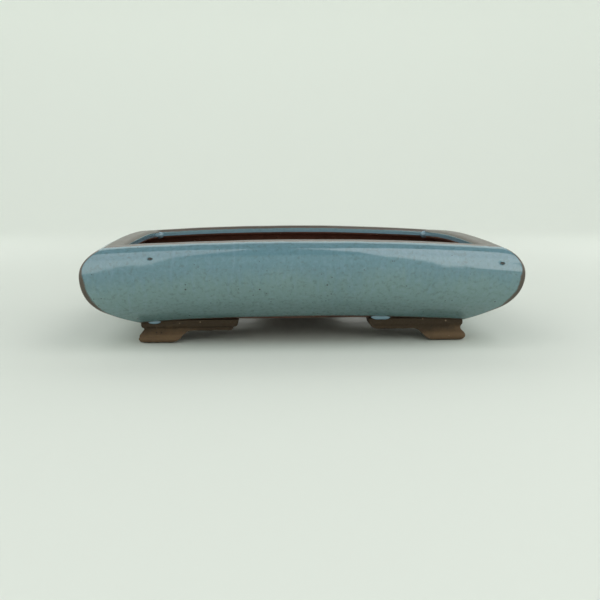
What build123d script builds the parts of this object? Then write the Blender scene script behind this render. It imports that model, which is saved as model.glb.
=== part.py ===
"""Shallow rectangular bonsai pot, hand built from slabs: a floor, four incurving walls that meet in
mitred corners, a coil of clay luted into each inside corner, four bracket feet, and one field of glaze
on the outside and lip of each wall.

Millimetres. X runs along the pot's width, Y along its depth and Z up. The origin is on the surface
that the pot stands on, under the centre of the floor. "Inset" is the distance in from the pot's widest
outline, and heights in the wall's section are those at the pot's corner, before the wall's bow.
"""

from build123d import *
import os
from math import asin, cos, degrees, pi, radians, sin

# ---- Pot ----
WIDTH = 200.0  # over the bulge of the left and right walls
DEPTH = 150.0  # over the bulge of the front and back walls
BOW = 3.5  # how far the rim and base of the front wall rise from its corners to its middle

# ---- Wall section, glazed face outwards ----
WALL = 5.0  # clay and glaze together
GLAZE = 0.5
BULGE_HEIGHT = 34.8  # height of the widest line
SHOULDER_RADIUS = 11.7  # from the widest line up to the flat land of the rim
BELLY_RADIUS = 22.0  # from the widest line down
BELLY_END_SLOPE = 38.0  # degrees from level, where the belly eases into the base sweep
BASE_RADIUS = 100.0
LIP_INSET = 16.5  # the glazed face of the lip's inner edge
LIP_TOP_ROUND = 2.0
LIP_BOTTOM_ROUND = 1.2
GLAZE_LINE_INSET = 21.5  # the glaze stops here, short of the feet
GLAZE_CORNER_GAP = 0.5  # bare clay along each mitred edge, where the glaze has drawn back

# ---- Floor ----
FLOOR_INSET = 24.0  # butt joint between the walls' lower ends and the floor
FLOOR_THICKNESS = 5.5
DRAIN_RADIUS = 9.0
DRAIN_X = 36.0
WIRE_HOLE_RADIUS = 2.0
WIRE_HOLE_X = 54.0
WIRE_HOLE_Y = 30.0

# ---- Inside corner coils ----
COIL_RADIUS = 6.0
COIL_BELLY_SLOPES = (38.0, 55.0, 72.0, 90.0)  # slopes of the belly where the coil is shaped
COIL_SHOULDER_SLOPES = (108.0, 125.0)  # the same on the shoulder, up to where the coil ends
COIL_BITE = 1.5  # how far the coil's blank runs into the walls before it is cut back

# ---- Feet ----
FOOT_INSET = 22.0
FOOT_THICKNESS = 9.0
FOOT_REACH_X = 46.5  # length of the leg under the front or back wall
FOOT_REACH_Y = 35.0  # length of the leg under the left or right wall
FOOT_BLOCK_X = 14.5  # flat bottom of the tall block
FOOT_BLOCK_Y = 11.5
FOOT_SWEEP = 9.5  # level distance from the block's bottom to the apron's underside
FOOT_SWEEP_START = 0.15  # slope with which the sweep leaves the block's bottom
APRON_HEIGHT = 5.5  # underside of the apron above the ground
APRON_END_RADIUS = 5.0
FOOT_WAIST = 0.7  # how far the face is hollowed above the bead
FOOT_WAIST_TOP = 8.0
BEAD_TOP = 4.6
BEAD_MIDDLE = 2.4
BEAD_FLARE = 1.3  # how far the bead stands out past the face
HEEL = 1.2  # how far behind the face the bead meets the ground
FOOT_BLANK_HEIGHT = 20.0  # taller than the joint, cut back to the underside of the pot

MARGIN = 2.0  # how far cutting shapes and blanks run past what they cut

HALF_WIDTH = WIDTH / 2
HALF_DEPTH = DEPTH / 2
RIM_HEIGHT = BULGE_HEIGHT + SHOULDER_RADIUS


class Arc:
    """An arc of the wall section's glazed face. Angles are the face's slope from level, in degrees."""

    def __init__(self, inset, height, radius):
        self.inset = inset
        self.height = height
        self.radius = radius

    def at(self, slope, sink):
        """The point with that slope, sunk below the glazed face by sink, as (inset, height)."""
        reach = self.radius - sink
        return (
            self.inset - reach * sin(radians(slope)),
            self.height - reach * cos(radians(slope)),
        )

    def slope_at(self, inset, sink):
        return degrees(asin((self.inset - inset) / (self.radius - sink)))


SHOULDER = Arc(SHOULDER_RADIUS, BULGE_HEIGHT, SHOULDER_RADIUS)
BELLY = Arc(BELLY_RADIUS, BULGE_HEIGHT, BELLY_RADIUS)
BELLY_END = BELLY.at(BELLY_END_SLOPE, 0)
BASE = Arc(
    BELLY_END[0] + BASE_RADIUS * sin(radians(BELLY_END_SLOPE)),
    BELLY_END[1] + BASE_RADIUS * cos(radians(BELLY_END_SLOPE)),
    BASE_RADIUS,
)


def arc_edge(arc, slope_from, slope_to, sink):
    """One arc of the section between two slopes, as its two ends and a point between them."""
    return [arc.at(slope, sink) for slope in (slope_from, (slope_from + slope_to) / 2, slope_to)]


def face_run(end_inset, sink):
    """The section's outline from the base up to the rim's land, at one depth below the glazed face."""
    return [
        arc_edge(BASE, BASE.slope_at(end_inset, sink), BELLY_END_SLOPE, sink),
        arc_edge(BELLY, BELLY_END_SLOPE, 90, sink),
        arc_edge(SHOULDER, 90, 180, sink),
    ]


def reverse(pieces):
    return [piece[::-1] for piece in reversed(pieces)]


def quarter_round(centre, radius, angle_from, angle_to):
    """An arc about a centre, in degrees from the inset direction."""
    angles = [radians(a) for a in (angle_from, (angle_from + angle_to) / 2, angle_to)]
    return [(centre[0] + radius * cos(a), centre[1] + radius * sin(a)) for a in angles]


def lip_top(sink):
    centre = (LIP_INSET - LIP_TOP_ROUND, RIM_HEIGHT - LIP_TOP_ROUND)
    return quarter_round(centre, LIP_TOP_ROUND - sink, 90, 0)


def clay_section():
    """Outline of a wall's slab: glazed side, lip, inner side, and the butt joint with the floor."""
    under = RIM_HEIGHT - WALL
    lip = LIP_INSET - GLAZE
    bottom_centre = (lip - LIP_BOTTOM_ROUND, under + LIP_BOTTOM_ROUND)
    bottom = quarter_round(bottom_centre, LIP_BOTTOM_ROUND, 0, -90)
    return [
        *face_run(FLOOR_INSET, GLAZE),
        lip_top(GLAZE),
        bottom,
        *reverse(face_run(FLOOR_INSET, WALL)),
    ]


def glaze_section():
    """Outline of a wall's glaze: over the outside, the land and the lip's edge."""
    lip_end = RIM_HEIGHT - WALL + LIP_BOTTOM_ROUND
    outside = [*face_run(GLAZE_LINE_INSET, 0), lip_top(0)]
    inside = [*face_run(GLAZE_LINE_INSET, GLAZE), lip_top(GLAZE)]
    lip_edge = [[(LIP_INSET, lip_end), (LIP_INSET - GLAZE, lip_end)]]
    return [*outside, *lip_edge, *reverse(inside)]


def section_face(pieces, half_span):
    """A section's outline, closed with straight lines, as a face at the middle of a front wall."""
    points = [[Vector(0, -half_span + i, z) for i, z in piece] for piece in pieces]
    edges = []
    for n, piece in enumerate(points):
        edges.append(Line(*piece) if len(piece) == 2 else ThreePointArc(*piece))
        onward = points[(n + 1) % len(points)][0]
        if (piece[-1] - onward).length > 1e-6:
            edges.append(Line(piece[-1], onward))
    return Face(Wire(edges))


def bowed(section, half_length, half_span):
    """A section carried along a shallow upward bow, to just past both ends of a front wall."""
    rise = BOW * half_length / HALF_WIDTH
    bow_radius = half_length**2 / (2 * rise)
    half_angle = degrees(asin((half_length + 2 * MARGIN) / bow_radius))
    axis = Axis((0, 0, -bow_radius), (0, 1, 0))
    face = section_face(section, half_span).moved(Location((0, 0, rise)))
    return revolve(face.rotate(axis, -half_angle), axis, 2 * half_angle)


def mitre_block(half_length, half_span, gap=0.0):
    """The space of a front wall between the two mitre planes, with a gap kept at each plane."""
    outer, inner = -half_span - MARGIN, -half_span + FLOOR_INSET + MARGIN
    near = half_length + MARGIN - gap
    far = half_length - FLOOR_INSET - MARGIN - gap
    corners = [(-near, outer), (near, outer), (far, inner), (-far, inner)]
    return extrude(make_face(Polyline(*corners, close=True)), RIM_HEIGHT + BOW + MARGIN)


WALL_PLACES = {
    "front": (HALF_WIDTH, HALF_DEPTH, 0),
    "back": (HALF_WIDTH, HALF_DEPTH, 180),
    "left": (HALF_DEPTH, HALF_WIDTH, -90),
    "right": (HALF_DEPTH, HALF_WIDTH, 90),
}


def wall_piece(section, side, gap=0.0):
    half_length, half_span, turn = WALL_PLACES[side]
    piece = bowed(section, half_length, half_span) & mitre_block(half_length, half_span, gap)
    return Rot(0, 0, turn) * piece


def floor_slab():
    """The floor, level with the base of the front wall at its middle, and its holes."""
    bottom = BASE.at(BASE.slope_at(FLOOR_INSET, 0), 0)[1] + BOW
    slab = Pos(0, 0, bottom) * Box(
        WIDTH - 2 * FLOOR_INSET, DEPTH - 2 * FLOOR_INSET, FLOOR_THICKNESS,
        align=(Align.CENTER, Align.CENTER, Align.MIN),
    )
    middle = bottom + FLOOR_THICKNESS / 2
    length = FLOOR_THICKNESS + 2 * MARGIN
    for x in (-DRAIN_X, DRAIN_X):
        slab -= Pos(x, 0, middle) * Cylinder(DRAIN_RADIUS, length)
    for x in (-WIRE_HOLE_X, WIRE_HOLE_X):
        for y in (-WIRE_HOLE_Y, WIRE_HOLE_Y):
            slab -= Pos(x, y, middle) * Cylinder(WIRE_HOLE_RADIUS, length)
    return slab


def inside_corner(arc, slope):
    """A point of the front left inside corner, where the two walls' inner faces cross."""
    inset, height = arc.at(slope, WALL)
    return inset - HALF_WIDTH, inset - HALF_DEPTH, height + BOW * (1 - (1 - inset / HALF_WIDTH) ** 2)


def coil_outline(x, y, height):
    """Level outline of a coil: a hollow fillet inside the corner, and its root inside the walls."""
    near = (x - COIL_BITE, y - COIL_BITE, height)
    x_end, y_end = x + COIL_RADIUS, y + COIL_RADIUS
    hollow = COIL_RADIUS * (1 - cos(pi / 4))
    return Face(Wire([
        Line((near[0], y_end, height), near),
        Line(near, (x_end, near[1], height)),
        Line((x_end, near[1], height), (x_end, y, height)),
        ThreePointArc((x_end, y, height), (x + hollow, y + hollow, height), (x, y_end, height)),
        Line((x, y_end, height), (near[0], y_end, height)),
    ]))


def coil_blank():
    """A coil of clay smoothed into the front left inside corner, before it is cut back to the walls."""
    start = BASE.slope_at(FLOOR_INSET, WALL)
    stations = [(BASE, start), (BASE, (start + BELLY_END_SLOPE) / 2)]
    stations += [(BELLY, slope) for slope in COIL_BELLY_SLOPES]
    stations += [(SHOULDER, slope) for slope in COIL_SHOULDER_SLOPES]
    return loft([coil_outline(*inside_corner(arc, slope)) for arc, slope in stations])


def foot_section():
    """Section of a foot's leg, as (back from its face, height): hollow waist, bead, heel and back."""
    waist_middle = (FOOT_WAIST_TOP + BEAD_TOP) / 2
    return make_face([
        Line((FOOT_THICKNESS, 0), (FOOT_THICKNESS, FOOT_BLANK_HEIGHT)),
        Line((FOOT_THICKNESS, FOOT_BLANK_HEIGHT), (0, FOOT_BLANK_HEIGHT)),
        Line((0, FOOT_BLANK_HEIGHT), (0, FOOT_WAIST_TOP)),
        ThreePointArc((0, FOOT_WAIST_TOP), (FOOT_WAIST, waist_middle), (0, BEAD_TOP)),
        ThreePointArc((0, BEAD_TOP), (-BEAD_FLARE, BEAD_MIDDLE), (HEEL, 0)),
        Line((HEEL, 0), (FOOT_THICKNESS, 0)),
    ])


def foot_underside(reach, block):
    """What is cut away under a leg, as (along the leg, height): sweep, apron and rounded end."""
    sweep_end = (block + FOOT_SWEEP, APRON_HEIGHT)
    sweep_middle = (block + FOOT_SWEEP / 2, APRON_HEIGHT / 2)
    round_start = (reach - APRON_END_RADIUS, APRON_HEIGHT)
    round_end = (reach, APRON_HEIGHT + APRON_END_RADIUS)
    diagonal = APRON_END_RADIUS * cos(pi / 4)
    round_middle = (round_start[0] + diagonal, round_end[1] - diagonal)
    far = reach + MARGIN
    return make_face([
        Line((block, -MARGIN), (block, 0)),
        Spline((block, 0), sweep_middle, sweep_end, tangents=((1, FOOT_SWEEP_START), (1, 0))),
        Line(sweep_end, round_start),
        ThreePointArc(round_start, round_middle, round_end),
        Line(round_end, (far, round_end[1])),
        Line((far, round_end[1]), (far, -MARGIN)),
        Line((far, -MARGIN), (block, -MARGIN)),
    ])


def foot_leg(reach, block):
    """One leg along +X from the foot's corner at the origin, its moulded face towards -Y."""
    leg = Pos(-2 * MARGIN, 0, 0) * extrude(Plane.YZ * foot_section(), reach + 2 * MARGIN)
    leg -= extrude(Plane.XZ * foot_underside(reach, block), FOOT_THICKNESS + MARGIN, both=True)
    far = reach + MARGIN
    mitred_half = make_face(Polyline((-far, -far), (far, -far), (far, far), close=True))
    return leg & extrude(mitred_half, FOOT_BLANK_HEIGHT)


def foot_blank():
    """A foot at the front left corner, tall enough to be cut back to the underside of the pot."""
    front = foot_leg(FOOT_REACH_X, FOOT_BLOCK_X)
    side = Rot(0, 0, -90) * foot_leg(FOOT_REACH_Y, FOOT_BLOCK_Y).mirror(Plane.YZ)
    return Pos(FOOT_INSET - HALF_WIDTH, FOOT_INSET - HALF_DEPTH, 0) * (front + side)


def single(shape):
    """The largest solid of a cut, so that no crumb is written with it."""
    return max(shape.solids(), key=lambda s: s.volume)


def at_corners(make_name, shape):
    """A front left piece and its mirror images at the other three corners."""
    left_right = {"left": shape, "right": shape.mirror(Plane.YZ)}
    pieces = {}
    for side, piece in left_right.items():
        pieces[make_name("front", side)] = piece
        pieces[make_name("back", side)] = piece.mirror(Plane.XZ)
    return pieces


def build():
    nodes = {}
    for side in WALL_PLACES:
        nodes[f"{side}_wall"] = single(wall_piece(clay_section(), side))
        nodes[f"{side}_glaze"] = single(wall_piece(glaze_section(), side, GLAZE_CORNER_GAP))
    floor = single(floor_slab())
    nodes["floor_slab"] = floor
    coil = coil_blank() - floor
    foot = foot_blank() & Box(WIDTH, DEPTH, 2 * floor.bounding_box().min.Z)
    for side in ("front", "left"):
        coil -= nodes[f"{side}_wall"]
        foot -= nodes[f"{side}_wall"]
    nodes |= at_corners(lambda y, x: f"{y}_{x}_corner_coil", single(coil))
    nodes |= at_corners(lambda y, x: f"{y}_{x}_foot", single(foot))
    return nodes


def main():
    os.makedirs("parts", exist_ok=True)
    for name, solid in build().items():
        export_step(solid, f"parts/{name}.step")


main()
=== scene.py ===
"""Bonsai pot: the looks of a shallow, slab-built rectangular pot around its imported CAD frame.

Laid out as an add-on: property groups hold the sizes and colours, one operator builds each group of
like pieces, and a panel lists them. Lengths are in metres. X runs along the pot's width, Y from its
front wall to its back wall and Z up. "Inset" is the level distance in from the pot's widest outline.
"""

import math

import bmesh
import bpy
from mathutils import Matrix, Vector, noise


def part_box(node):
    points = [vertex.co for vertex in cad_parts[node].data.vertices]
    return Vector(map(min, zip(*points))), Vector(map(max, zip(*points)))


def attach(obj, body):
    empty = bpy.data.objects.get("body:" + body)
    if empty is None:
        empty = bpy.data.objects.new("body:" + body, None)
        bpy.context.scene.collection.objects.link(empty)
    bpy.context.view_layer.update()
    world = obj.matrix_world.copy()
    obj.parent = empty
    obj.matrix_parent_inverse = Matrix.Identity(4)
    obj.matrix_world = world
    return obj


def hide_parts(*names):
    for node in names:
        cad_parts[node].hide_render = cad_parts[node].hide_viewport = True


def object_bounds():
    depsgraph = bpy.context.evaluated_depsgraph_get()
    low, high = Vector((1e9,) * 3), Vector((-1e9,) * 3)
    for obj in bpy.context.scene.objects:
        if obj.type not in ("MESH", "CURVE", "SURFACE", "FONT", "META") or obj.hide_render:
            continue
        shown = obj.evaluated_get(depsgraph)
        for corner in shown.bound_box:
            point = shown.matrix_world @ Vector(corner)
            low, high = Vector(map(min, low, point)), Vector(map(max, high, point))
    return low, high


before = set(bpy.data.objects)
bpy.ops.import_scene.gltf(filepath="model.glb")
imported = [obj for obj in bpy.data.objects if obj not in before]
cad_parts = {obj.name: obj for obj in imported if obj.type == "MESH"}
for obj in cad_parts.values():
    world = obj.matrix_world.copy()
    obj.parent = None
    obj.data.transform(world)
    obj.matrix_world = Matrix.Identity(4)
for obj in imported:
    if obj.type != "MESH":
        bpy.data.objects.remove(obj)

bl_info = {
    "name": "Bonsai Pot",
    "version": (1, 0, 0),
    "blender": (4, 5, 0),
    "location": "View3D > Sidebar > Bonsai Pot",
    "description": "Builds a glazed, slab-built bonsai pot piece by piece, and its studio",
    "category": "Object",
}

MM = 0.001
CAD_LOW, CAD_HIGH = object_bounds()
HALF_WIDTH = CAD_HIGH.x
HALF_DEPTH = CAD_HIGH.y
RIM_TOP = CAD_HIGH.z  # the rim at the middle of the front wall
FLOOR_INSET = HALF_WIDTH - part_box("floor_slab")[1].x
GLAZE_LINE_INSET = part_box("front_glaze")[1].y + HALF_DEPTH

PINHOLES = (  # two burst bubbles high on the front wall, one near each end
    Vector((-0.696 * HALF_WIDTH, -HALF_DEPTH + 1.6 * MM, RIM_TOP - 7.5 * MM)),
    Vector((0.892 * HALF_WIDTH, -HALF_DEPTH + 0.9 * MM, RIM_TOP - 10.1 * MM)),
)
PINHOLE_RADIUS = 0.8 * MM
PINHOLE_DEPTH = 0.35 * MM
# A pinhole is painted near-black: partly its bare clay, partly painted shade in its hollow.
PINHOLE_BARE_AND_SHADE = 0.35 * MM  # half the height of the bare clay in a pinhole
PINHOLE_RING = 0.7 * MM  # where the glaze is whole again
PINHOLE_STRETCH = (0.5, 0.45, 1.0)  # a pinhole is twice as long as it is high

ARRIS_ANGLE = math.radians(25)  # walls that meet at less than this have no arris to soften
MITRE_BLEND = 3 * MM  # each side of a mitre, where one wall's bow passes into the other's
# Partly painted shade: a foot darkens upwards towards the pot's underside, partly darker clay and partly
# painted shade under the pot's belly.
FOOT_DARKENING_AND_SHADE = (1 * MM, 10 * MM)  # heights between which a foot darkens

SLOW_LENGTH, SLOW_DRIFT = 46 * MM, 0.30 * MM  # a slab's slow wander
QUICK_LENGTH, QUICK_DRIFT = 15 * MM, 0.12 * MM  # the marks of hands
LEFT_END_FULLER = 0.9 * MM
LEFT_END_SAG = 1.3 * MM
FIRM_HEIGHT = 14 * MM  # the pot is true where it stands, and wanders fully from here up
NOISE_SHIFTS = (Vector((9.3, 1.5, 7.9)), Vector((3.4, 6.8, 2.1)), Vector((5.7, 8.2, 4.6)))

CLAY_TINT = (0.6, 0.42, 0.3, 1)  # what the fine grain multiplies the clay by
GROG = (0.42, 0.30, 0.21, 1)  # pale grit in the clay
CLAY_PIT = (0.02, 0.012, 0.009, 1)
GLAZE_HOLLOW = (0.062, 0.095, 0.088, 1)  # between the milky mottles

SIDES = {"front": 0, "right": 90, "back": 180, "left": 270}  # degrees round from the front wall
CORNERS = [(y, x) for y in ("front", "back") for x in ("left", "right")]


# ---------------------------------------------------------------- settings


def length(name, description, default):
    return bpy.props.FloatProperty(name=name, description=description, default=default, unit="LENGTH")


def share(name, description, default):
    return bpy.props.FloatProperty(
        name=name, description=description, default=default, min=0, max=1, subtype="FACTOR"
    )


def brightness(name, description, default):
    return bpy.props.FloatProperty(name=name, description=description, default=default, min=0)


def colour(name, description, default):
    return bpy.props.FloatVectorProperty(
        name=name, description=description, default=default, size=3, min=0, max=1, subtype="COLOR"
    )


class PotSizes(bpy.types.PropertyGroup):
    """The wall's section and the pot's bow."""

    wall: length("Wall", "Thickness of a wall, clay and glaze together", 5 * MM)
    glaze: length("Glaze", "Thickness of the glaze", 0.5 * MM)
    bow: length("Bow", "Rise of the front wall from its corners to its middle", 3.5 * MM)
    bulge_height: length("Bulge height", "Height of the widest line at the corners", 34.8 * MM)
    shoulder_radius: length("Shoulder radius", "From the widest line up to the rim", 11.7 * MM)
    belly_radius: length("Belly radius", "From the widest line down", 22 * MM)
    base_radius: length("Base radius", "Below the belly, to the floor", 100 * MM)
    belly_end: bpy.props.FloatProperty(
        name="Belly end", description="Slope where the belly meets the base", default=math.radians(38),
        subtype="ANGLE",
    )
    lip_inset: length("Lip inset", "The inner edge of the rim", 16.5 * MM)
    lip_top_round: length("Lip top round", "Radius of the lip's upper edge", 2 * MM)
    lip_bottom_round: length("Lip bottom round", "Radius of the lip's lower edge", 1.2 * MM)
    arris_round: length("Arris round", "Softening of the mitred edges", 1.1 * MM)


class GlazeLook(bpy.types.PropertyGroup):
    """Colours and finish of the glaze."""

    upper: colour("Upper", "Blue of the shoulder and the lip", (0.098, 0.196, 0.236))
    lower: colour("Lower", "Grey-green of the belly", (0.140, 0.236, 0.238))
    milky: colour("Milky", "Where the glaze has run thick", (0.24, 0.36, 0.46))
    thin: colour("Thin", "Where the glaze breaks over an edge", (0.052, 0.034, 0.02))
    speck: colour("Speck", "Iron specks that bleed through", (0.022, 0.02, 0.017))
    roughness: share("Roughness", "Roughness of the glaze's surface", 0.07)
    ior: bpy.props.FloatProperty(
        name="IOR", description="Index of refraction, which sets the gloss", default=1.72, min=1, max=3
    )


class ClayLook(bpy.types.PropertyGroup):
    """Colours of the unglazed clay."""

    body: colour("Body", "Clay of the walls and floor", (0.165, 0.078, 0.052))
    body_dark: colour("Body dark", "Darker clouds on the walls and floor", (0.090, 0.042, 0.029))
    foot: colour("Foot", "Clay of the feet", (0.135, 0.082, 0.042))
    # The dark foot colour is partly darker clay and partly painted shade under the pot's belly, where
    # the feet meet it.
    foot_dark_and_shade: colour("Foot dark", "Flashed clay near the glaze", (0.042, 0.025, 0.011))


class Studio(bpy.types.PropertyGroup):
    """Floor, backdrop, lights and camera."""

    floor: colour("Floor", "Floor and backdrop", (0.66, 0.69, 0.65))
    backdrop_glow: brightness("Backdrop glow", "Light that the backdrop gives of its own", 0.43)
    back_panel: brightness("Back panel", "Brightness of the panel above and behind the pot", 0.75)
    side_panels: brightness("Side panels", "Brightness of the panels at both sides", 0.9)
    left_softbox: brightness("Left softbox", "Brightness of the left softbox, white being 1", 1.3)
    right_softbox: brightness("Right softbox", "Brightness of the right softbox, white being 1", 1.9)
    surround: brightness("Surround", "Brightness of the room above the backdrop", 0.25)
    camera_place: bpy.props.FloatVectorProperty(
        name="Camera place", description="Where the camera stands", default=(-0.0203, -0.3910, 0.0739),
        subtype="TRANSLATION", unit="LENGTH",
    )
    camera_turn: bpy.props.FloatVectorProperty(
        name="Camera turn", description="Down, roll and yaw of the camera",
        default=(math.radians(8.99), math.radians(-0.07), math.radians(3.11)), subtype="EULER",
    )
    lens: bpy.props.FloatProperty(name="Lens", description="Focal length in mm", default=42.7, min=1)


SETTINGS = {
    "pot_sizes": PotSizes,
    "glaze_look": GlazeLook,
    "clay_look": ClayLook,
    "studio": Studio,
}


# ---------------------------------------------------------------- shape of the pot


class Arc:
    """An arc of the wall section's glazed face. A slope is the face's angle from level."""

    def __init__(self, inset, height, radius):
        self.inset = inset
        self.height = height
        self.radius = radius

    def at(self, slope, sink):
        reach = self.radius - sink
        return self.inset - reach * math.sin(slope), self.height - reach * math.cos(slope)

    def slope_at(self, inset, sink):
        return math.asin((self.inset - inset) / (self.radius - sink))


class Section:
    """The arcs of a wall's section, from the pot's sizes."""

    def __init__(self, sizes):
        end = sizes.belly_end
        self.sizes = sizes
        self.rim = sizes.bulge_height + sizes.shoulder_radius
        self.shoulder = Arc(sizes.shoulder_radius, sizes.bulge_height, sizes.shoulder_radius)
        self.belly = Arc(sizes.belly_radius, sizes.bulge_height, sizes.belly_radius)
        corner = self.belly.at(end, 0)
        reach = sizes.base_radius
        self.base = Arc(corner[0] + reach * math.sin(end), corner[1] + reach * math.cos(end), reach)


def smooth_step(low, high, value):
    """0 below low, 1 above high, and smooth between them."""
    t = min(max((value - low) / (high - low), 0.0), 1.0)
    return t * t * (3 - 2 * t)


def mitre_distance(point):
    """How far a point stands from the nearest mitre plane: above 0 in the front and back walls."""
    return ((HALF_WIDTH - abs(point.x)) - (HALF_DEPTH - abs(point.y))) / math.sqrt(2)


def bow_height(point, bow):
    """How far the bow lifts a point, shared smoothly between two walls at their mitre."""
    long_side = bow * (1 - (point.x / HALF_WIDTH) ** 2)
    short_side = bow * HALF_DEPTH / HALF_WIDTH * (1 - (point.y / HALF_DEPTH) ** 2)
    part = smooth_step(-MITRE_BLEND, MITRE_BLEND, mitre_distance(point))
    return short_side + (long_side - short_side) * part


def uneven(point):
    """Smooth noise in each direction, the same on every run, which noise_vector isn't."""
    return Vector([noise.noise(point + shift) for shift in NOISE_SHIFTS])


def hand_built(point):
    """The unevenness of a pot built by hand, the same for every piece that meets at a point.

    It wanders slowly all over, and the left end is a little fuller and has sagged in the kiln.
    """
    slow = uneven(point / SLOW_LENGTH + Vector((3.1, 7.7, 1.9)))
    quick = uneven(point / QUICK_LENGTH + Vector((8.3, 2.2, 5.4)))
    drift = slow * SLOW_DRIFT + quick * QUICK_DRIFT
    left_end = smooth_step(0.55, 1.0, -point.x / HALF_WIDTH)
    fuller = smooth_step(6 * MM, 25 * MM, point.z) * (1 - smooth_step(38 * MM, 47 * MM, point.z))
    sagged = smooth_step(4 * MM, 16 * MM, point.z) * (1 - smooth_step(24 * MM, 44 * MM, point.z))
    drift += Vector((-LEFT_END_FULLER * fuller, 0, -LEFT_END_SAG * sagged)) * left_end
    return drift * smooth_step(0, FIRM_HEIGHT, point.z)


def wander(mesh):
    """Gives a mesh the hand-built unevenness."""
    for vert in mesh.verts:
        vert.co += hand_built(vert.co)


def settle(mesh, bow):
    """Bows a mesh that was made level, and gives it the hand-built unevenness."""
    for vert in mesh.verts:
        point = vert.co + Vector((0, 0, bow_height(vert.co, bow)))
        vert.co = point + hand_built(point)


# ---------------------------------------------------------------- mesh helpers


def edge_verts(geometry):
    return [g for g in geometry if isinstance(g, bmesh.types.BMVert)]


def arc_on(mesh, vert, arc, slopes, steps, sink):
    """Carries an outline on from its last point, round part of an arc of the section."""
    centre = Vector((0, arc.inset - HALF_DEPTH, arc.height))
    made = bmesh.ops.spin(
        mesh, geom=[vert], cent=centre, axis=(1, 0, 0), dvec=(0, 0, 0),
        angle=slopes[0] - slopes[1], steps=steps, use_merge=False, use_duplicate=False,
    )
    last = edge_verts(made["geom_last"])[0]
    last.co.yz = arc.at(slopes[1], sink)
    last.co.y -= HALF_DEPTH
    return last


def round_on(mesh, vert, centre, degrees, steps):
    """Carries an outline on round a centre, given as (inset, height)."""
    made = bmesh.ops.spin(
        mesh, geom=[vert], cent=Vector((0, centre[0] - HALF_DEPTH, centre[1])), axis=(1, 0, 0),
        dvec=(0, 0, 0), angle=math.radians(degrees), steps=steps, use_merge=False, use_duplicate=False,
    )
    return edge_verts(made["geom_last"])[0]


def line_on(mesh, vert, inset, height, runs=1):
    """Carries an outline on in a straight line to (inset, height), in equal runs."""
    start = vert.co.copy()
    end = Vector((0, inset - HALF_DEPTH, height))
    for run in range(runs):
        vert = bmesh.ops.extrude_vert_indiv(mesh, verts=[vert])["verts"][0]
        vert.co = start.lerp(end, (run + 1) / runs)
    return vert


def face_steps(arc_angle, radius, spacing):
    return max(2, round(arc_angle * radius / spacing))


def trace_face(mesh, section, start_inset, sink, spacing):
    """The section's outline from the base up to the rim's flat land. Returns its last point."""
    start = section.base.slope_at(start_inset, sink)
    end = section.sizes.belly_end
    first = bmesh.ops.create_vert(mesh, co=(0, 0, 0))["vert"][0]
    inset, height = section.base.at(start, sink)
    first.co = Vector((0, inset - HALF_DEPTH, height))
    base_steps = face_steps(end - start, section.base.radius, spacing)
    vert = arc_on(mesh, first, section.base, (start, end), base_steps, sink)
    for arc, slopes in (
        (section.belly, (end, math.pi / 2)),
        (section.shoulder, (math.pi / 2, math.pi)),
    ):
        steps = face_steps(slopes[1] - slopes[0], arc.radius, spacing)
        vert = arc_on(mesh, vert, arc, slopes, steps, sink)
    return vert


def trace_lip_top(mesh, vert, section, sink, spacing):
    """The land, from the shoulder to the lip, and the lip's upper round."""
    sizes = section.sizes
    centre = (sizes.lip_inset - sizes.lip_top_round, section.rim - sizes.lip_top_round)
    runs = max(2, round((centre[0] - sizes.shoulder_radius) / spacing))
    vert = line_on(mesh, vert, centre[0], section.rim - sink, runs)
    steps = face_steps(math.pi / 2, sizes.lip_top_round, spacing * 0.7)
    return round_on(mesh, vert, centre, -90, steps)


def trace_glaze(mesh, section, spacing):
    """The outer face of a wall's glaze, from the glaze line over the rim to the lip's lower edge."""
    sizes = section.sizes
    vert = trace_face(mesh, section, GLAZE_LINE_INSET, 0, spacing)
    vert = trace_lip_top(mesh, vert, section, 0, spacing)
    end = section.rim - sizes.wall + sizes.lip_bottom_round
    line_on(mesh, vert, sizes.lip_inset, end, round((vert.co.z - end) / spacing))


def trace_clay(mesh, section, spacing):
    """The closed outline of a wall's clay: glazed side, lip, inner side and butt joint."""
    sizes = section.sizes
    vert = trace_face(mesh, section, FLOOR_INSET, sizes.glaze, spacing)
    vert = trace_lip_top(mesh, vert, section, sizes.glaze, spacing)
    under = section.rim - sizes.wall
    lip = sizes.lip_inset - sizes.glaze
    turn = sizes.lip_bottom_round
    vert = line_on(mesh, vert, lip, under + turn, 2)
    vert = round_on(mesh, vert, (lip - turn, under + turn), -90, 4)
    vert = line_on(mesh, vert, sizes.shoulder_radius, under, 3)
    start = section.base.slope_at(FLOOR_INSET, sizes.wall)
    for arc, slopes in (
        (section.shoulder, (math.pi, math.pi / 2)),
        (section.belly, (math.pi / 2, sizes.belly_end)),
        (section.base, (sizes.belly_end, start)),
    ):
        steps = face_steps(abs(slopes[0] - slopes[1]), arc.radius - sizes.wall, spacing)
        vert = arc_on(mesh, vert, arc, slopes, steps, sizes.wall)
    mesh.verts.ensure_lookup_table()
    joint = mesh.verts[0].co
    line_on(mesh, vert, joint.y + HALF_DEPTH, joint.z, 4)


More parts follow.
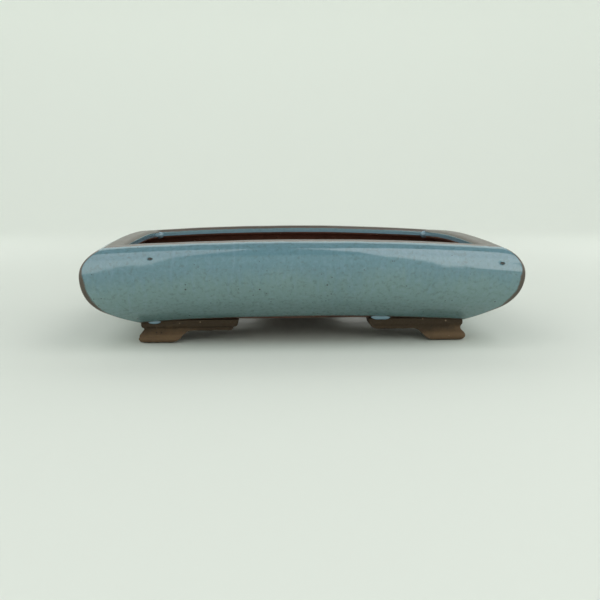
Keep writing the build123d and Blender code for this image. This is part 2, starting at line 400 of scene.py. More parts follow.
def wall_ring(trace, section, spacing):
    """An outline carried round the pot: four straight lengths that meet in mitres."""
    ring = bmesh.new()
    for turn in SIDES.values():
        crosswise = turn % 180 == 90
        length_half = HALF_DEPTH if crosswise else HALF_WIDTH
        shift = HALF_DEPTH - HALF_WIDTH if crosswise else 0
        wall = bmesh.new()
        trace(wall, section, spacing)
        near = list(wall.verts)
        made = bmesh.ops.extrude_edge_only(wall, edges=list(wall.edges))
        far = edge_verts(made["geom"])
        for verts, way in ((near, -1), (far, 1)):
            for vert in verts:
                vert.co.x = way * (length_half - (vert.co.y + HALF_DEPTH))
        bmesh.ops.translate(wall, verts=list(wall.verts), vec=(0, shift, 0))
        spin = Matrix.Rotation(math.radians(turn), 3, "Z")
        bmesh.ops.rotate(wall, verts=list(wall.verts), cent=(0, 0, 0), matrix=spin)
        piece = bpy.data.meshes.new("wall")
        wall.to_mesh(piece)
        wall.free()
        ring.from_mesh(piece)
        bpy.data.meshes.remove(piece)
    bmesh.ops.remove_doubles(ring, verts=list(ring.verts), dist=0.02 * MM)
    bmesh.ops.recalc_face_normals(ring, faces=list(ring.faces))
    return ring


def outer_arrises(ring, section):
    """The edges where two walls meet outside, before the walls are cut lengthwise."""
    ends = {v for v in ring.verts if abs(mitre_distance(v.co)) < 0.01 * MM}
    found = []
    for edge in ring.edges:
        if not (edge.verts[0] in ends and edge.verts[1] in ends and edge.calc_length() < HALF_DEPTH / 4):
            continue
        middle = (edge.verts[0].co + edge.verts[1].co) / 2
        inset = HALF_WIDTH - abs(middle.x)
        for arc in (section.shoulder, section.belly, section.base):
            reach = math.hypot(inset - arc.inset, middle.z - arc.height)
            above = middle.z > section.sizes.bulge_height
            outside = inset < arc.inset and abs(reach - arc.radius) < MM
            if outside and above == (arc is section.shoulder) and edge.calc_face_angle(0) > ARRIS_ANGLE:
                found.append(edge)
                break
    return found


def soften(ring, edges, width, segments):
    """Rounds edges, and returns the faces that this makes."""
    made = bmesh.ops.bevel(
        ring, geom=edges, offset=width, offset_type="OFFSET", segments=segments, profile=0.5,
        affect="EDGES", material=-1, clamp_overlap=False,
    )
    return made["faces"]


def cut_lengthwise(ring, spacing):
    """Divides the long edges of all four walls, so that they can bow."""
    for along, half in ((0, HALF_WIDTH), (1, HALF_DEPTH)):
        long_edges = [
            e for e in ring.edges
            if abs(e.verts[0].co[along] - e.verts[1].co[along]) > half
        ]
        cuts = round(2 * half / spacing)
        bmesh.ops.subdivide_edges(ring, edges=long_edges, cuts=cuts, use_grid_fill=True)


def side_of(point):
    if mitre_distance(point) > 0:
        return "front" if point.y < 0 else "back"
    return "left" if point.x < 0 else "right"


def part_of(ring, keep):
    """A copy of a mesh that holds only the faces that keep() picks."""
    part = ring.copy()
    waste = [f for f in part.faces if not keep(f)]
    bmesh.ops.delete(part, geom=waste, context="FACES")
    return part


def finished(mesh, name, material, replaced=()):
    """Makes a mesh into a piece that rides on the pot, in place of the CAD nodes that it replaces."""
    data = bpy.data.meshes.new(name)
    mesh.to_mesh(data)
    mesh.free()
    data.materials.append(material)
    piece = bpy.data.objects.new(name, data)
    bpy.context.scene.collection.objects.link(piece)
    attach(piece, "root")
    if replaced:
        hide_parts(*replaced)


def smooth(mesh):
    for face in mesh.faces:
        face.smooth = True


def shade(mesh, sharp_angle):
    """Smooth faces, with edges kept sharp where they turn by more than an angle."""
    smooth(mesh)
    for edge in mesh.edges:
        edge.smooth = not edge.is_manifold or edge.calc_face_angle(0) < sharp_angle


def remeshed(mesh, voxel, rounds):
    """Gives a closed mesh an even grid of faces, and smooths it."""
    data = bpy.data.meshes.new("rough")
    mesh.to_mesh(data)
    mesh.free()
    rough = bpy.data.objects.new("rough", data)
    bpy.context.scene.collection.objects.link(rough)
    remesh = rough.modifiers.new("Remesh", "REMESH")
    remesh.mode = "VOXEL"
    remesh.voxel_size = voxel
    view = bpy.context.evaluated_depsgraph_get()
    even = bmesh.new()
    even.from_mesh(rough.evaluated_get(view).to_mesh())
    bpy.data.objects.remove(rough)
    bpy.data.meshes.remove(data)
    for _ in range(rounds):
        bmesh.ops.smooth_vert(
            even, verts=list(even.verts), factor=0.5, use_axis_x=True, use_axis_y=True, use_axis_z=True
        )
    return even


def cad_copy(node):
    """A CAD node's mesh with its loose triangles merged."""
    mesh = bmesh.new()
    mesh.from_mesh(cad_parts[node].data)
    bmesh.ops.remove_doubles(mesh, verts=list(mesh.verts), dist=0.002 * MM)
    return mesh


# ---------------------------------------------------------------- shader node groups


class Nodes:
    """Adds and joins the nodes of one tree."""

    def __init__(self, tree):
        self.tree = tree

    def add(self, kind, **values):
        node = self.tree.nodes.new(kind)
        for name, value in values.items():
            if name in node.inputs.keys():
                self.feed(node.inputs[name], value)
            else:
                setattr(node, name, value)
        return node

    def feed(self, socket, value):
        if isinstance(value, bpy.types.NodeSocket):
            self.tree.links.new(value, socket)
        else:
            socket.default_value = value

    def maths(self, operation, a, b=0.0, clamp=False):
        node = self.tree.nodes.new("ShaderNodeMath")
        node.operation = operation
        node.use_clamp = clamp
        self.feed(node.inputs[0], a)
        self.feed(node.inputs[1], b)
        return node.outputs[0]

    def step(self, value, low, high, to_low=0.0, to_high=1.0):
        node = self.tree.nodes.new("ShaderNodeMapRange")
        node.interpolation_type = "SMOOTHSTEP"
        for name, given in (("Value", value), ("From Min", low), ("From Max", high),
                            ("To Min", to_low), ("To Max", to_high)):
            self.feed(node.inputs[name], given)
        return node.outputs["Result"]

    def mix(self, factor, a, b, blend="MIX"):
        node = self.tree.nodes.new("ShaderNodeMix")
        node.data_type = "RGBA"
        node.blend_type = blend
        self.feed(node.inputs[0], factor)
        self.feed(node.inputs[6], a)
        self.feed(node.inputs[7], b)
        return node.outputs[2]

    def noise(self, vector, scale, detail=3.0, roughness=0.5, distortion=0.0):
        node = self.add("ShaderNodeTexNoise", Vector=vector, Scale=scale, Detail=detail)
        node.inputs["Roughness"].default_value = roughness
        node.inputs["Distortion"].default_value = distortion
        return node.outputs["Fac"]

    def attribute(self, name):
        return self.add("ShaderNodeAttribute", attribute_name=name)


def new_group(name, inputs, outputs):
    """A shader node group with named sockets. Returns its tree, its Nodes, its inputs and its output."""
    tree = bpy.data.node_groups.new(name, "ShaderNodeTree")
    for label, kind, value in inputs:
        socket = tree.interface.new_socket(label, in_out="INPUT", socket_type=kind)
        if value is not None:
            socket.default_value = value
    for label, kind in outputs:
        tree.interface.new_socket(label, in_out="OUTPUT", socket_type=kind)
    nodes = Nodes(tree)
    return tree, nodes, nodes.add("NodeGroupInput").outputs, nodes.add("NodeGroupOutput").inputs


def group_node(n, name, **values):
    node = n.add("ShaderNodeGroup", node_tree=bpy.data.node_groups[name])
    for label, value in values.items():
        n.feed(node.inputs[label], value)
    return node


def specks_group():
    """Round specks strewn over a surface: Mask is 1 inside a speck."""
    tree, n, given, out = new_group(
        "Specks",
        [("Vector", "NodeSocketVector", None), ("Scale", "NodeSocketFloat", 400.0),
         ("Size", "NodeSocketFloat", 0.2), ("Share", "NodeSocketFloat", 0.3)],
        [("Mask", "NodeSocketFloat")],
    )
    cells = n.add("ShaderNodeTexVoronoi", Vector=given["Vector"], Scale=given["Scale"])
    lot = n.add("ShaderNodeSeparateColor", Color=cells.outputs["Color"])
    chosen = n.maths("LESS_THAN", lot.outputs[0], given["Share"])
    size = n.maths("MULTIPLY", given["Size"], n.maths("ADD", lot.outputs[1], 0.35))
    inside = n.step(cells.outputs["Distance"], n.maths("MULTIPLY", size, 0.6), size, 1.0, 0.0)
    n.feed(out["Mask"], n.maths("MULTIPLY", inside, chosen))
    return tree


def clay_group():
    """Fired clay: cloudy colour, dark and pale grog, and a fine tooled grain."""
    tree, n, given, out = new_group(
        "Clay",
        [("Vector", "NodeSocketVector", None), ("Clay", "NodeSocketColor", None),
         ("Dark", "NodeSocketColor", None), ("Cloud", "NodeSocketFloat", 0.5)],
        [("Color", "NodeSocketColor"), ("Height", "NodeSocketFloat"), ("Roughness", "NodeSocketFloat")],
    )
    where = given["Vector"]
    patches = n.noise(where, 55, 5, 0.6)
    blotches = n.maths("MULTIPLY", n.noise(where, 260, 3, 0.6), 0.3)
    clouds = n.maths("ADD", patches, blotches)
    fine = n.noise(where, 900, 4, 0.65)
    grain = n.noise(where, 2600, 2, 0.6)
    usual = 0.65  # what the clouds come to on average
    shift = n.maths("ADD", n.maths("SUBTRACT", clouds, usual), given["Cloud"])
    base = n.mix(n.step(shift, 0.28, 0.72), given["Clay"], given["Dark"])
    warm = n.mix(0.5, base, CLAY_TINT, "MULTIPLY")
    base = n.mix(n.step(fine, 0.35, 0.75, 0.0, 0.45), base, warm)
    grog = group_node(n, "Specks", Vector=where, Scale=620.0, Size=0.24, Share=0.10)
    base = n.mix(n.maths("MULTIPLY", grog.outputs[0], 0.55), base, GROG)
    pits = group_node(n, "Specks", Vector=where, Scale=480.0, Size=0.22, Share=0.12)
    base = n.mix(n.maths("MULTIPLY", pits.outputs[0], 0.7), base, CLAY_PIT)
    height = n.maths("ADD", n.maths("MULTIPLY", fine, 0.6), n.maths("MULTIPLY", grain, 0.3))
    height = n.maths("SUBTRACT", height, n.maths("MULTIPLY", pits.outputs[0], 0.5))
    n.feed(out["Color"], base)
    n.feed(out["Height"], height)
    n.feed(out["Roughness"], n.step(fine, 0.3, 0.8, 0.92, 0.66))
    return tree


def flow_group():
    """Molten glaze: slow clouds, fine mottling and streaks that run down the wall."""
    tree, n, given, out = new_group(
        "Flow",
        [("Vector", "NodeSocketVector", None), ("Run", "NodeSocketVector", None)],
        [("Clouds", "NodeSocketFloat"), ("Mottle", "NodeSocketFloat"), ("Streaks", "NodeSocketFloat")],
    )
    stretched = n.add("ShaderNodeMapping", Vector=given["Run"])
    stretched.inputs["Scale"].default_value = (1.0, 0.16, 1.0)
    n.feed(out["Clouds"], n.noise(given["Vector"], 38, 3, 0.5))
    n.feed(out["Mottle"], n.noise(given["Vector"], 520, 4, 0.62, 0.4))
    n.feed(out["Streaks"], n.noise(stretched.outputs[0], 420, 3, 0.55, 0.2))
    return tree


def new_material(name):
    material = bpy.data.materials.new(name)
    material.use_nodes = True
    n = Nodes(material.node_tree)
    return material, n, material.node_tree.nodes["Principled BSDF"]


def opaque(rgb):
    return (*rgb, 1.0)


def glaze_material(look):
    """Glossy blue glaze that breaks brown over edges and pools milky where it runs thick."""
    material, n, shader = new_material("blue_glaze")
    place = n.add("ShaderNodeTexCoord").outputs["Object"]
    run = n.attribute("run").outputs["Vector"]
    thin = n.attribute("thin").outputs["Fac"]
    pool = n.attribute("pool").outputs["Fac"]
    tone = n.attribute("tone").outputs["Fac"]
    flow = group_node(n, "Flow", Vector=place, Run=run)
    clouds, mottle, streaks = (flow.outputs[k] for k in ("Clouds", "Mottle", "Streaks"))

    drift = n.maths("MULTIPLY", n.maths("SUBTRACT", clouds, 0.5), 0.9)
    drift = n.maths("ADD", drift, n.maths("MULTIPLY", n.maths("SUBTRACT", streaks, 0.5), 0.5))
    rising = n.step(n.maths("ADD", tone, drift), 0.15, 0.85)
    ground = n.mix(rising, opaque(look.lower), opaque(look.upper))
    ground = n.mix(n.step(streaks, 0.50, 0.80, 0.0, 0.14), ground, opaque(look.milky))
    ground = n.mix(n.step(mottle, 0.50, 0.74, 0.0, 0.16), ground, opaque(look.milky))
    ground = n.mix(n.step(mottle, 0.50, 0.28, 0.0, 0.40), ground, GLAZE_HOLLOW)
    ground = n.mix(n.maths("MULTIPLY", pool, 0.8, True), ground, opaque(look.milky))

    fray = n.maths("MULTIPLY", n.maths("SUBTRACT", mottle, 0.5), 0.9)
    broken = n.step(n.maths("ADD", thin, fray), 0.32, 0.72)
    ground = n.mix(broken, ground, opaque(look.thin))

    few = n.step(clouds, 0.42, 0.68, 0.04, 0.16)
    specks = group_node(n, "Specks", Vector=place, Scale=620.0, Size=0.20, Share=few)
    dots = group_node(n, "Specks", Vector=place, Scale=330.0, Size=0.14, Share=0.12)
    marks = n.maths("MAXIMUM", n.maths("MULTIPLY", specks.outputs[0], 0.9), dots.outputs[0])
    pits = 0.0
    for pinhole in PINHOLES:
        away = n.add("ShaderNodeMapping", Vector=place)
        away.inputs["Location"].default_value = [-c * k for c, k in zip(pinhole, PINHOLE_STRETCH)]
        away.inputs["Scale"].default_value = PINHOLE_STRETCH
        reach = n.add("ShaderNodeVectorMath", operation="LENGTH")
        n.feed(reach.inputs[0], away.outputs[0])
        # Painted shade in part: each pinhole takes the near-black speck colour, as bare clay and as the
        # shade in its hollow.
        bare_and_shade = n.step(reach.outputs["Value"], PINHOLE_BARE_AND_SHADE, PINHOLE_RING, 1.0, 0.0)
        pits = n.maths("MAXIMUM", pits, bare_and_shade)
    dark = n.maths("MAXIMUM", n.maths("MULTIPLY", marks, 0.85), pits)
    ground = n.mix(dark, ground, opaque(look.speck))
    n.feed(shader.inputs["Base Color"], ground)

    rough = n.maths("ADD", n.maths("MULTIPLY", broken, 0.28), n.step(mottle, 0.3, 0.7, 0.0, 0.05))
    rough = n.maths("ADD", rough, n.maths("MULTIPLY", pits, 0.6))
    n.feed(shader.inputs["Roughness"], n.maths("ADD", rough, look.roughness))
    shader.inputs["IOR"].default_value = look.ior

    peel = n.maths("ADD", n.noise(place, 240, 2), n.maths("MULTIPLY", streaks, 0.35))
    height = n.maths("SUBTRACT", peel, n.maths("MULTIPLY", marks, 0.25))
    bump = n.add("ShaderNodeBump", Height=height, Strength=0.10)
    bump.inputs["Distance"].default_value = 0.25 * MM
    sunk = n.add("ShaderNodeBump", Height=n.maths("SUBTRACT", 1.0, pits), Normal=bump.outputs[0])
    sunk.inputs["Distance"].default_value = 0.5 * MM
    n.feed(shader.inputs["Normal"], sunk.outputs[0])
    return material


def clay_material(name, clay, dark, darkening_and_shade):
    """Unglazed clay. The last argument is None, or the two heights between which the clay darkens
    upwards: partly darker clay, partly painted shade under the pot where a foot meets it.
    """
    material, n, shader = new_material(name)
    place = n.add("ShaderNodeTexCoord").outputs["Object"]
    cloud = 0.42  # how far the dark clay shows
    if darkening_and_shade:
        # On the feet the clay darkens towards the top: partly darker clay, partly painted shade under
        # the pot's belly.
        height = n.add("ShaderNodeSeparateXYZ", Vector=place).outputs["Z"]
        cloud = n.step(height, *darkening_and_shade, 0.30, 0.80)
    body = group_node(n, "Clay", Vector=place, Clay=opaque(clay), Dark=opaque(dark), Cloud=cloud)
    n.feed(shader.inputs["Base Color"], body.outputs["Color"])
    n.feed(shader.inputs["Roughness"], body.outputs["Roughness"])
    bump = n.add("ShaderNodeBump", Height=body.outputs["Height"], Strength=0.55)
    bump.inputs["Distance"].default_value = 0.35 * MM
    n.feed(shader.inputs["Normal"], bump.outputs[0])
    return material


def studio_material(studio):
    """Pale paper for the floor and backdrop. It is clear from behind, so that it hides nothing."""
    material, n, shader = new_material("studio_paper")
    shader.inputs["Base Color"].default_value = opaque(studio.floor)
    shader.inputs["Roughness"].default_value = 0.9
    shader.inputs["Specular IOR Level"].default_value = 0.2
    place = n.add("ShaderNodeTexCoord").outputs["Object"]
    shader.inputs["Emission Color"].default_value = opaque(studio.floor)
    reach = n.add("ShaderNodeVectorMath", operation="LENGTH")
    n.feed(reach.inputs[0], place)
    glow = n.step(reach.outputs["Value"], 0.1, 0.9, 0.0, studio.backdrop_glow)
    n.feed(shader.inputs["Emission Strength"], glow)
    clear = n.add("ShaderNodeBsdfTransparent")
    behind = n.add("ShaderNodeNewGeometry").outputs["Backfacing"]
    choice = n.add("ShaderNodeMixShader")
    n.feed(choice.inputs[0], behind)
    n.feed(choice.inputs[1], shader.outputs[0])
    n.feed(choice.inputs[2], clear.outputs[0])
    n.feed(material.node_tree.nodes["Material Output"].inputs["Surface"], choice.outputs[0])
    return material


def pot_material(name):
    """One of the pot's materials, made the first time that it is asked for."""
    if name in bpy.data.materials:
        return bpy.data.materials[name]
    for label, make in (("Specks", specks_group), ("Clay", clay_group), ("Flow", flow_group)):
        if label not in bpy.data.node_groups:
            make()
    scene = bpy.context.scene
    clay = scene.clay_look
    if name == "blue_glaze":
        return glaze_material(scene.glaze_look)
    if name == "red_stoneware":
        return clay_material(name, clay.body, clay.body_dark, None)
    return clay_material(name, clay.foot, clay.foot_dark_and_shade, FOOT_DARKENING_AND_SHADE)


# ---------------------------------------------------------------- operators


class PieceOperator:
    """What all the building operators share."""

    bl_options = {"REGISTER", "UNDO"}

    @property
    def section(self):
        return Section(bpy.context.scene.pot_sizes)


class BuildWalls(PieceOperator, bpy.types.Operator):
    """Build the four clay walls"""

    bl_idname = "bonsai_pot.build_walls"
    bl_label = "Walls"

    SPACING = 1.1 * MM  # between points round the section
    LENGTH_SPACING = 1.2 * MM
    ARRIS_STEPS = 4

    def execute(self, context):
        sizes = context.scene.pot_sizes
        ring = wall_ring(trace_clay, self.section, self.SPACING)
        soften(ring, outer_arrises(ring, self.section), sizes.arris_round, self.ARRIS_STEPS)
        cut_lengthwise(ring, self.LENGTH_SPACING)
        for side in SIDES:
            wall = part_of(ring, lambda f: side_of(f.calc_center_median()) == side)
            bmesh.ops.holes_fill(wall, edges=[e for e in wall.edges if e.is_boundary])
            bmesh.ops.recalc_face_normals(wall, faces=list(wall.faces))
            settle(wall, sizes.bow)
            shade(wall, math.radians(40))
            clay = pot_material("red_stoneware")
            finished(wall, f"{side}_clay_wall", clay, [f"{side}_wall"])
        ring.free()
        return {"FINISHED"}


class BuildGlaze(PieceOperator, bpy.types.Operator):
    """Build the glaze on the outside, rim and lip of each wall"""

    bl_idname = "bonsai_pot.build_glaze"
    bl_label = "Glaze"

    SPACING = 0.8 * MM  # between points, round the section and lengthwise
    ARRIS_STEPS = 6

    def execute(self, context):
        sizes = context.scene.pot_sizes
        ring = wall_ring(trace_glaze, self.section, self.SPACING)
        soften(ring, outer_arrises(ring, self.section), sizes.arris_round, self.ARRIS_STEPS)
        cut_lengthwise(ring, self.SPACING)
        for side in SIDES:
            field = part_of(ring, lambda f: side_of(f.calc_center_median()) == side)
            paint_glaze(field, self.section, side)
            settle(field, sizes.bow)
            if side == "front":
                sink_pinholes(field)
            bmesh.ops.recalc_face_normals(field, faces=list(field.faces))
            bmesh.ops.solidify(field, geom=list(field.faces), thickness=sizes.glaze)
            shade(field, math.radians(50))
            glaze = pot_material("blue_glaze")
            finished(field, f"{side}_glaze_field", glaze, [f"{side}_glaze"])
        ring.free()
        return {"FINISHED"}


def glaze_layers(mesh):
    """The attributes that the glaze's material reads: thin, pool, tone and run."""
    layers = mesh.verts.layers
    thin, pool, tone = (layers.float.new(name) for name in ("thin", "pool", "tone"))
    return thin, pool, tone, layers.float_vector.new("run")


def worn_arris(point):
    """1 where the glaze has drawn back from a mitred edge, most of all at mid height."""
    middle = smooth_step(12 * MM, 22 * MM, point.z) * (1 - smooth_step(33 * MM, 42 * MM, point.z))
    width = 0.35 + 0.65 * middle + 0.25 * noise.noise(point / (7 * MM))
    return 1 - smooth_step(0.6 * MM * width, 2.7 * MM * width, abs(mitre_distance(point)))


def paint_glaze(field, section, side):
    """Stores where the glaze is thin, where it pools, its tone and the way that it runs."""
    sizes = section.sizes
    rim = section.rim
    thin, pool, tone, run = glaze_layers(field)
    along_x = side in ("front", "back")
    for vert in field.verts:
        point = vert.co
        inset = min(HALF_WIDTH - abs(point.x), HALF_DEPTH - abs(point.y))
        high = point.z > sizes.bulge_height
        low = point.z < sizes.bulge_height
        outside = low or inset < sizes.shoulder_radius * 0.6
        edge = worn_arris(point) if outside else 0.0
        land = smooth_step(sizes.shoulder_radius - 4.5 * MM, sizes.shoulder_radius - 2 * MM, inset)
        land *= smooth_step(rim - 2.2 * MM, rim - 0.9 * MM, point.z)
        hem = low * (1 - smooth_step(0.5 * MM, 2.0 * MM, GLAZE_LINE_INSET - inset))
        lip = high * smooth_step(sizes.lip_inset - 0.6 * MM, sizes.lip_inset, inset)
        under_round = 1 - smooth_step(rim - 3.4 * MM, rim - 1.6 * MM, point.z)
        vert[thin] = max(edge, land * 0.9, hem)
        vert[pool] = lip * under_round * 0.6
        vert[tone] = 0.12 + 0.95 * smooth_step(20 * MM, rim - 2 * MM, point.z)
        vert[run] = Vector((point.x if along_x else point.y, point.z - inset, 0.1 * SIDES[side]))


def sink_pinholes(field):
    """Dents the front wall's glaze at its pinholes."""
    for vert in field.verts:
        for pinhole in PINHOLES:
            away = (vert.co - pinhole).length / PINHOLE_RADIUS
            vert.co.y += PINHOLE_DEPTH * math.exp(-away * away)


class BuildFloor(PieceOperator, bpy.types.Operator):
    """Build the floor with its drain and tie-wire holes"""

    bl_idname = "bonsai_pot.build_floor"
    bl_label = "Floor"

    GRID = 0.75 * MM
    SMOOTHING = 4

    def execute(self, context):
        floor = remeshed(cad_copy("floor_slab"), self.GRID, self.SMOOTHING)
        wander(floor)
        smooth(floor)
        finished(floor, "clay_floor", pot_material("red_stoneware"), ["floor_slab"])
        return {"FINISHED"}


class BuildCoils(PieceOperator, bpy.types.Operator):
    """Build the coils of clay smoothed into the inside corners"""

    bl_idname = "bonsai_pot.build_coils"
    bl_label = "Corner coils"

    def execute(self, context):
        for y, x in CORNERS:
            node = f"{y}_{x}_corner_coil"
            coil = cad_copy(node)
            wander(coil)
            shade(coil, math.radians(30))
            finished(coil, f"{y}_{x}_clay_coil", pot_material("red_stoneware"), [node])
        return {"FINISHED"}


class BuildFeet(PieceOperator, bpy.types.Operator):
    """Build the four bracket feet"""

    bl_idname = "bonsai_pot.build_feet"
    bl_label = "Feet"

    GRID = 0.36 * MM
    SMOOTHING = 3
    GROOVES = {  # height and depth of each tool line on a left or right foot
        "left": ((6.6 * MM, 0.8 * MM), (3.1 * MM, 0.35 * MM)),
        "right": ((5.6 * MM, 0.1 * MM),),
    }
    GROOVE_HALF_WIDTH = 0.55 * MM

    def execute(self, context):
        for y, x in CORNERS:
            node = f"{y}_{x}_foot"
            foot = remeshed(cad_copy(node), self.GRID, self.SMOOTHING)
            foot.normal_update()
            for vert in foot.verts:
                vert.co -= vert.normal * self.groove(vert.co, x)
            wander(foot)
            smooth(foot)
            finished(foot, f"{y}_{x}_clay_foot", pot_material("foot_stoneware"), [node])
        return {"FINISHED"}

    def groove(self, point, x):
        """Depth of the lines that the modelling tool left round the leg."""
        depth = 0.0
        for height, deep in self.GROOVES[x]:
            unsteady = noise.noise(point / (9 * MM)) * 0.5 * MM
            away = (point.z - height - unsteady) / self.GROOVE_HALF_WIDTH
            depth += deep * math.exp(-away * away)
        pitting = noise.noise(point / (1.6 * MM)) * 0.07 * MM
        return depth + pitting


class BuildGlazeDrops(PieceOperator, bpy.types.Operator):
    """Build the beads of glaze in the lip's corners and the runs over the front feet"""

    bl_idname = "bonsai_pot.build_glaze_drops"
    bl_label = "Glaze beads and runs"

    BEAD = Vector((3.0, 3.0, 2.2)) * MM  # half its length each way
    RUNS = {  # name: place along the front wall, half length, half height
        "left_glaze_run": (-0.715 * HALF_WIDTH, 3.0 * MM, 1.0 * MM),
        "right_glaze_run": (0.375 * HALF_WIDTH, 4.6 * MM, 1.5 * MM),
    }
    RUN_HALF_DEPTH = 0.9 * MM
    BITE = 0.3 * MM  # how far a drop's middle lies inside the glaze or clay behind it

    def execute(self, context):
        section = self.section
        sizes = section.sizes
        inset = sizes.lip_inset - self.BITE
        for y, x in CORNERS:
            place = Vector((HALF_WIDTH - inset, HALF_DEPTH - inset, section.rim - 3.1 * MM))
            place.x *= -1 if x == "left" else 1
            place.y *= -1 if y == "front" else 1
            self.drop(f"{y}_{x}_lip_bead", place, self.BEAD, sizes.bow)
        glaze_line = section.base.at(section.base.slope_at(GLAZE_LINE_INSET, 0), 0)[1]
        behind = GLAZE_LINE_INSET - HALF_DEPTH + self.BITE
        for name, (along, half_length, half_height) in self.RUNS.items():
            place = Vector((along, behind, glaze_line - 0.1 * half_height))
            self.drop(name, place, Vector((half_length, self.RUN_HALF_DEPTH, half_height)), sizes.bow)
        return {"FINISHED"}

    def drop(self, name, place, half, bow):
        """A lump of glaze of a given half size."""
        mesh = bmesh.new()
        bmesh.ops.create_icosphere(mesh, subdivisions=4, radius=1)
        bmesh.ops.scale(mesh, vec=half, verts=list(mesh.verts))
        lift = Vector((0, 0, bow_height(place, bow)))
        shift = hand_built(place + lift)
        bmesh.ops.translate(mesh, vec=place + lift + shift, verts=list(mesh.verts))
        thin, pool, tone, run = glaze_layers(mesh)
        for vert in mesh.verts:
            vert.co += uneven(vert.co / (3.2 * MM)) * 0.3 * MM
            vert[thin] = 0.0
            vert[pool] = 0.6
            vert[tone] = 1.0
            vert[run] = vert.co
        smooth(mesh)
        finished(mesh, name, pot_material("blue_glaze"))


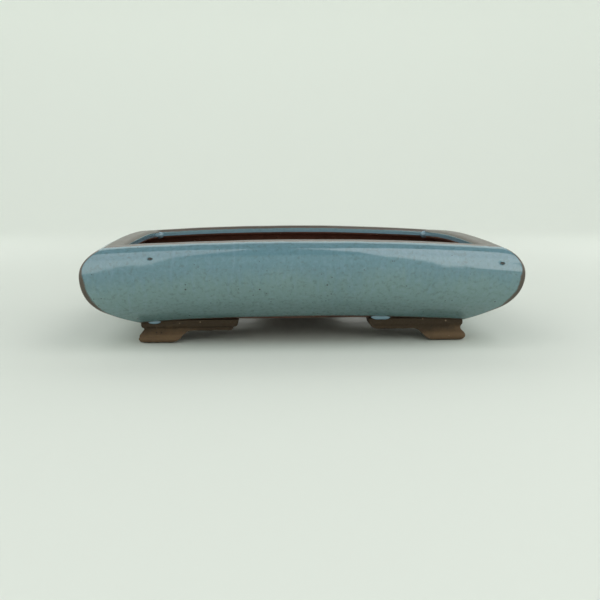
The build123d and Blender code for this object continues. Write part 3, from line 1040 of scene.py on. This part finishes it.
class BuildStage(bpy.types.Operator):
    """Build the floor, backdrop, lights and camera of the studio"""

    bl_idname = "bonsai_pot.build_stage"
    bl_label = "Studio"

    FLOOR_DROP = 0.2 * MM  # keeps the paper clear of the soles
    FLOOR_RADIUS = 1.0
    COVE_RADIUS = 0.45
    WALL_HEIGHT = 1.9

    BACK_PANEL = (Vector((-0.6, 0.62, 0.32)), Vector((-0.6, 0.42, 0.72)), Vector((1.2, 0, 0)))
    SIDE_PANEL = (Vector((0.75, -0.4, 0.06)), Vector((0.62, -0.4, 0.45)), Vector((0, 0.8, 0)))
    SOFTBOX_TURN = math.radians(20)  # of a softbox's inner edge, from straight in front
    SOFTBOX_FOOT = (0.75, 0.10)  # reach and height of the inner edge's low end
    SOFTBOX_HEAD = (0.10, 0.65)
    SOFTBOX_WAIST = 0.45  # how far up the inner edge it widens
    SOFTBOX_WIDTHS = (0.13, 0.30)

    def execute(self, context):
        studio = context.scene.studio
        self.paper(studio)
        self.softbox("left_softbox", -1, studio.left_softbox)
        self.softbox("right_softbox", 1, studio.right_softbox)
        self.panel("back_panel", *self.BACK_PANEL, studio.back_panel)
        for name, way in (("left_panel", -1), ("right_panel", 1)):
            flip = Matrix.Diagonal((way, 1, 1))
            self.panel(name, *(flip @ corner for corner in self.SIDE_PANEL), studio.side_panels)
        self.surround(context.scene, studio)
        self.camera(context.scene, studio)
        context.scene.view_settings.view_transform = "Standard"
        return {"FINISHED"}

    def paper(self, studio):
        """A round floor that curves up into a wall, spun from its outline."""
        mesh = bmesh.new()
        vert = bmesh.ops.create_vert(mesh, co=(0, 0, 0))["vert"][0]
        made = bmesh.ops.extrude_vert_indiv(mesh, verts=[vert])
        rim = made["verts"][0]
        rim.co = Vector((self.FLOOR_RADIUS, 0, 0))
        made = bmesh.ops.spin(
            mesh, geom=[rim], cent=(self.FLOOR_RADIUS, 0, self.COVE_RADIUS), axis=(0, -1, 0),
            dvec=(0, 0, 0), angle=math.pi / 2, steps=16, use_merge=False, use_duplicate=False,
        )
        top = bmesh.ops.extrude_vert_indiv(mesh, verts=edge_verts(made["geom_last"]))["verts"][0]
        top.co.z = self.WALL_HEIGHT
        bmesh.ops.spin(
            mesh, geom=list(mesh.verts) + list(mesh.edges), cent=(0, 0, 0), axis=(0, 0, 1),
            dvec=(0, 0, 0), angle=2 * math.pi, steps=96, use_merge=True, use_duplicate=False,
        )
        bmesh.ops.remove_doubles(mesh, verts=list(mesh.verts), dist=0.1 * MM)
        smooth(mesh)
        for face in mesh.faces:
            if face.normal.dot(Vector((0, 0, 1)) - face.calc_center_median()) < 0:
                face.normal_flip()
        bmesh.ops.translate(mesh, vec=(0, 0, -self.FLOOR_DROP), verts=list(mesh.verts))
        data = bpy.data.meshes.new("studio_paper")
        mesh.to_mesh(data)
        mesh.free()
        data.materials.append(studio_material(studio))
        paper = bpy.data.objects.new("studio_paper", data)
        bpy.context.scene.collection.objects.link(paper)

    def softbox(self, name, way, strength):
        """A lamp panel that leans over the pot from the front: a narrow half below, a wide one above."""
        sine, cosine = math.sin(self.SOFTBOX_TURN), math.cos(self.SOFTBOX_TURN)
        foot, head = (
            Vector((way * sine * reach, -cosine * reach, height))
            for reach, height in (self.SOFTBOX_FOOT, self.SOFTBOX_HEAD)
        )
        waist = foot.lerp(head, self.SOFTBOX_WAIST)
        outwards = Vector((way * cosine, sine, 0))
        narrow, wide = self.SOFTBOX_WIDTHS
        self.panel(f"{name}_lower", foot, waist, outwards * narrow, strength)
        self.panel(f"{name}_upper", waist, head, outwards * wide, strength)

    def panel(self, name, low, high, across, strength):
        """A lamp with one edge that runs from low to high, and that reaches across from it."""
        data = bpy.data.lights.new(name, "AREA")
        data.shape = "RECTANGLE"
        data.size = across.length
        data.size_y = (high - low).length
        data.energy = strength * math.pi * data.size * data.size_y  # for a radiance of strength
        lamp = bpy.data.objects.new(name, data)
        up = (high - low).normalized()
        centre = (low + high + across) / 2
        facing = across.cross(up).normalized()
        if facing.dot(centre) < 0:  # a lamp shines along its own -Z
            facing = -facing
        turned = Matrix((up.cross(facing), up, facing)).transposed().to_4x4()
        lamp.matrix_world = Matrix.Translation(centre) @ turned
        lamp.visible_camera = False
        bpy.context.scene.collection.objects.link(lamp)

    def surround(self, scene, studio):
        """The dim room that shows past the paper."""
        world = bpy.data.worlds.new("studio")
        world.use_nodes = True
        back = world.node_tree.nodes["Background"]
        back.inputs["Color"].default_value = (1.0, 1.0, 1.0, 1)
        back.inputs["Strength"].default_value = studio.surround
        scene.world = world

    def camera(self, scene, studio):
        """A camera that stands before the pot, a little above its rim."""
        data = bpy.data.cameras.new("camera")
        data.lens = studio.lens
        data.clip_start = 0.01
        camera = bpy.data.objects.new("camera", data)
        down, roll, yaw = studio.camera_turn
        camera.rotation_euler = (math.pi / 2 - down, roll, -yaw)
        camera.location = studio.camera_place
        scene.collection.objects.link(camera)
        scene.camera = camera


class PotPanel(bpy.types.Panel):
    """Lists the pot's settings and the operators that build it"""

    bl_idname = "VIEW3D_PT_bonsai_pot"
    bl_label = "Bonsai Pot"
    bl_space_type = "VIEW_3D"
    bl_region_type = "UI"
    bl_category = "Bonsai Pot"

    def draw(self, context):
        for operator in OPERATORS:
            self.layout.operator(operator.bl_idname)
        for name, group in SETTINGS.items():
            box = self.layout.box()
            for label in group.__annotations__:
                box.prop(getattr(context.scene, name), label)


OPERATORS = (
    BuildWalls, BuildGlaze, BuildFloor, BuildCoils, BuildFeet, BuildGlazeDrops, BuildStage,
)


def register():
    for cls in (*SETTINGS.values(), *OPERATORS, PotPanel):
        bpy.utils.register_class(cls)
    for name, group in SETTINGS.items():
        setattr(bpy.types.Scene, name, bpy.props.PointerProperty(type=group))


def unregister():
    for name in SETTINGS:
        delattr(bpy.types.Scene, name)
    for cls in (PotPanel, *reversed(OPERATORS), *SETTINGS.values()):
        bpy.utils.unregister_class(cls)


def main():
    register()
    for operator in OPERATORS:
        family, name = operator.bl_idname.split(".")
        getattr(getattr(bpy.ops, family), name)()


if __name__ == "__main__":
    main()
